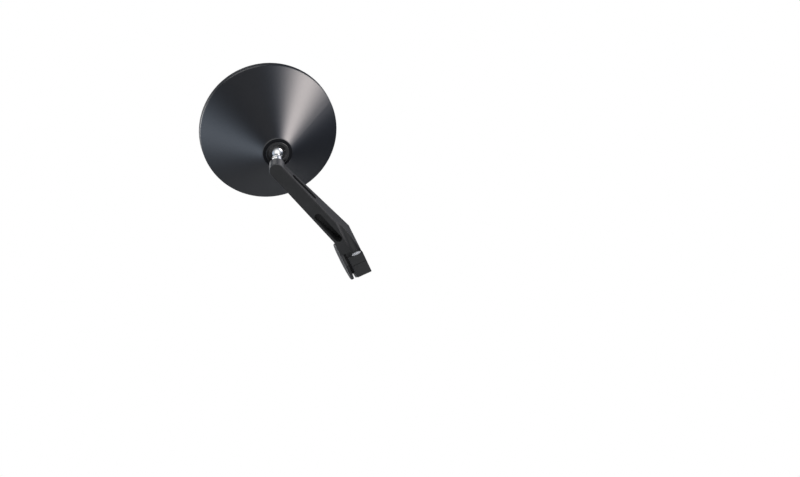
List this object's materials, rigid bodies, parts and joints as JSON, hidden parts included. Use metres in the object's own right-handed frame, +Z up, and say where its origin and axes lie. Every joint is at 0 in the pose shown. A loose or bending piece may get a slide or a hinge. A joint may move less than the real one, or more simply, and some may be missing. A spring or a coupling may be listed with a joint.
{
  "type": "motorcycle bar end mirror",
  "caption": "Round funnel-backed mirror on a ball stud, carried by a milled arm that clamps round a motorcycle handlebar's end.",
  "frame": {"origin": "on the handlebar's axis, at the middle of the clamp's grip", "axes": "+X along the handlebar and outwards, +Y forwards, +Z up, with the glass facing the rider at -Y"},
  "size_m": [0.0992, 0.0892, 0.1604],
  "materials": {
    "arm_black": "black anodised, satin",
    "bolt_steel": "bright zinc plated",
    "stud_chrome": "polished",
    "seat_acetal": "black acetal",
    "cup_steel": "turned",
    "housing_black": "black anodised, satin",
    "ring_black": "black anodised, satin",
    "spring_steel": "hardened",
    "plate_plastic": "moulded",
    "pad_foam": "adhesive foam",
    "mirror_face": "convex silvered glass",
    "gasket_rubber": "matt"
  },
  "bodies": {
    "bar_arm": {"arm": "arm_black", "pinch_bolt": "bolt_steel", "ball_stud": "stud_chrome"},
    "seat_body": {"rear_seat": "seat_acetal"},
    "cup_body": {"thrust_cup": "cup_steel"},
    "mirror_head": {"mirror_housing": "housing_black", "socket_ring": "ring_black", "front_seat": "seat_acetal", "disc_springs": "spring_steel", "adjuster_plug": "cup_steel", "backing_plate": "plate_plastic", "foam_pad": "pad_foam", "mirror_glass": "mirror_face", "rim_gasket": "gasket_rubber"}
  },
  "joints": [
    {"name": "head_swivel", "type": "hinge", "parent": "bar_arm", "child": "seat_body", "pos_m": [0.01643, -0.0053, 0.09288], "axis": [-0.3408, -0.8879, 0.309], "continuous": true},
    {"name": "head_tilt", "type": "hinge", "parent": "seat_body", "child": "cup_body", "pos_m": [0.01643, -0.0053, 0.09288], "axis": [0.6863, -0.0104, 0.7272], "range_deg": [-54.2, 11.7]},
    {"name": "head_spin", "type": "hinge", "parent": "cup_body", "child": "mirror_head", "pos_m": [0.01643, -0.0053, 0.09288], "axis": [0.0852, 0.9942, -0.0663], "continuous": true}
  ]
}
